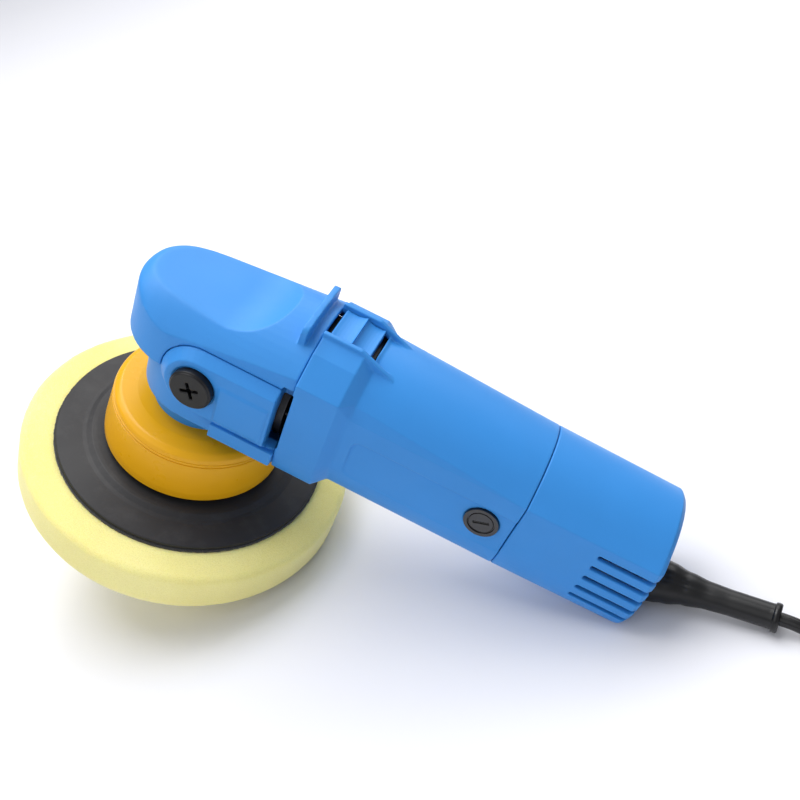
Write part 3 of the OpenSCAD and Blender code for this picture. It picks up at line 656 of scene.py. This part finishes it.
def foam_disc():
    """The pad, with a pressed spot where its rounded edge meets the floor."""
    piece = lathe("foam_disc", foam_profile(), at(0, 0, 0), TOOL_Z, TOOL_X, 220, foam_uneven)
    for vertex in piece.data.vertices:
        if vertex.co.z < PRESSED_BELOW:
            vertex.co.z = PRESSED_BELOW - (PRESSED_BELOW - vertex.co.z) * PRESSED_SHARE
    return piece


foam = stands_for(foam_disc(), "foam_pad")


# ---- Hook-and-loop layer: a fabric disc between the foam and the plate ----

LOOP_R, LOOP_LOW, LOOP_HIGH = 73.0, 29.0, 30.5
LOOP = [(TIP_R, LOOP_LOW, 0), (LOOP_R, LOOP_LOW, 0.3), (LOOP_R, LOOP_HIGH, 0.5), (TIP_R, LOOP_HIGH, 0)]


def frayed(radius, height, angle):
    """The cut edge of the fabric is slightly uneven."""
    if radius < LOOP_R - 2:
        return radius, height
    place = Vector((radius * math.cos(angle), radius * math.sin(angle), height)) * 0.6
    return min(LOOP_R, radius - 0.2 + 0.3 * noise.noise(place)), height


stands_for(lathe("loop_disc", rounded(LOOP, 4), at(0, 0, 0), TOOL_Z, TOOL_X, 400, frayed), "loop_layer")


# ---- Cord tie ----

TIE_ANGLE = 215
TIE_INNER, TIE_OUTER = 26.2, 47.9
TIE_LOW, TIE_HIGH = 0.5, 28.3
TIE_CORNER = 2.5
# The strap's section as (across, through) points: flat, with eased edges
TIE_SECTION = [(-6, -0.25), (-5.7, -0.5), (5.7, -0.5), (6, -0.25),
               (6, 0.25), (5.7, 0.5), (-5.7, 0.5), (-6, 0.25)]


def tie():
    """A flat strap that goes once round the coil's section."""
    angle = math.radians(TIE_ANGLE)
    out = Vector((math.cos(angle), math.sin(angle), 0))
    side = Vector((-out.y, out.x, 0))
    centre = Vector((COIL_X, COIL_Y, 0)) * MM
    inner, outer = TIE_INNER + TIE_CORNER, TIE_OUTER - TIE_CORNER
    low, high = TIE_LOW + TIE_CORNER, TIE_HIGH - TIE_CORNER
    path = []
    for quarter, corner in enumerate(((outer, high), (inner, high), (inner, low), (outer, low))):
        path += arc_points(corner, TIE_CORNER, quarter * 90, quarter * 90 + 90, 5)
    rings = []
    for i, (x, z) in enumerate(path):
        before, after = path[i - 1], path[(i + 1) % len(path)]
        tangent = Vector((after[0] - before[0], after[1] - before[1])).normalized()
        normal = Vector((tangent.y, -tangent.x))
        ring = []
        for across, through in TIE_SECTION:
            flat = (out * (x + normal.x * through) + side * across) * MM
            ring.append(centre + flat + Vector((0, 0, (z + normal.y * through) * MM)))
        rings.append(ring)
    rings.append(rings[0])
    return sewn(loft("cord_strap", rings, closed_ends=False))


strap = finished(tie(), "tie_fabric", "root", ["cord_tie"])


# ---- Plug and pins ----

PLUG_X, PLUG_Y, PLUG_Z = 336, 108, 8.5
PLUG_L = 67
PLUG_SPACING = 0.75
PLUG_SIDES = 40
# Length along the plug, half width and half height: a sleeve that widens into the grip
PLUG_STOPS = [(0, 4.4, 4.4), (1, 4.7, 4.7), (18, 6.0, 6.0), (22, 6.8, 6.6), (27, 10.5, 7.6), (33, 14.6, 8.2),
              (40, 17.2, 8.4), (50, 17.4, 8.4), (58, 16.6, 8.3), (63.5, 15.2, 8.1), (66.2, 14.0, 7.6),
              (PLUG_L, 13.0, 6.6)]
PIN_OFFSET = 9.5
PIN_ROOT = 66.5
SLEEVE = [(TIP_R, 0, 0), (2.4, 0, 0.1), (2.4, 10.4, 0.3), (TIP_R, 10.4, 0)]
PIN = [(TIP_R, 10.5, 0), (2.35, 10.5, 0.1), (2.35, 19.5, 1.2), (TIP_R, 19.5, 0)]


def plug_body():
    """A flat two-pin plug: a ribbed sleeve that widens into an oval grip."""
    rings = []
    places = [i * PLUG_SPACING for i in range(int(PLUG_L / PLUG_SPACING) + 1)] + [s[0] for s in PLUG_STOPS]
    for y in sorted(set(places)):
        half_width, half_height = along_stops(PLUG_STOPS, y, eased_over=4)
        rib = 0.45 if 3 < y < 20 and int(y / 1.5) % 2 else 0
        grip = 0.5 * math.cos(math.pi * y) ** 2 if 38 < y < 56 else 0
        power = 2.0 if y < 24 else 2.9
        ring = []
        for k in range(PLUG_SIDES):
            angle = 2 * math.pi * k / PLUG_SIDES
            c, s = math.cos(angle), math.sin(angle)
            scale = (abs(c) ** power + abs(s) ** power) ** (-1 / power)
            x = (half_width - rib - grip * abs(c) ** 3) * c * scale
            z = (half_height - rib) * s * scale
            ring.append(Vector((PLUG_X + x, PLUG_Y + y, PLUG_Z + z)) * MM)
        rings.append(ring)
    return loft("plug_body", rings)


def pin_part(name, corners, steps, sign):
    """A round piece of one pin, turned about the pin's own axis along Y."""
    base = Vector((PLUG_X + sign * PIN_OFFSET, PLUG_Y + PIN_ROOT, PLUG_Z)) * MM
    return lathe(name, rounded(corners, steps), base, Vector((0, 1, 0)), Vector((1, 0, 0)), 32)


plug = finished(plug_body(), "plug_rubber", "root", ["plug"])
for letter, sign, replaced in (("a", -1, ["plug_pins"]), ("b", 1, [])):
    finished(pin_part("pin_sleeve_" + letter, SLEEVE, 3, sign), "plug_rubber", "root")
    finished(pin_part("pin_" + letter, PIN, 5, sign), "pin_metal", "root", replaced)

# ---- Floor and light ----

bpy.ops.mesh.primitive_plane_add(size=12, location=(0, 0, 0))
floor = bpy.context.object
floor.name = "floor"
floor.data.materials.append(floor_paper())


def studio_world():
    world = bpy.data.worlds.new("studio")
    bpy.context.scene.world = world
    world.use_nodes = True
    background = world.node_tree.nodes["Background"]
    background.inputs["Color"].default_value = (0.93, 0.95, 1.0, 1)
    background.inputs["Strength"].default_value = 0.47


def area_light(name, place, target, size, power):
    data = bpy.data.lights.new(name, "AREA")
    data.shape = "SQUARE"
    data.size = size
    data.energy = power
    lamp = bpy.data.objects.new(name, data)
    bpy.context.scene.collection.objects.link(lamp)
    lamp.location = place
    lamp.rotation_euler = (Vector(target) - Vector(place)).to_track_quat("-Z", "Y").to_euler()


studio_world()
area_light("key", (-0.35, 0.15, 1.4), (0, 0, 0.05), 1.1, 18.5)
area_light("fill", (-0.5, -1.2, 1.1), (0.0, 0, 0.05), 1.4, 6)
area_light("back", (-0.1, 1.9, 1.5), (0, 1.25, 0), 2.0, 26)
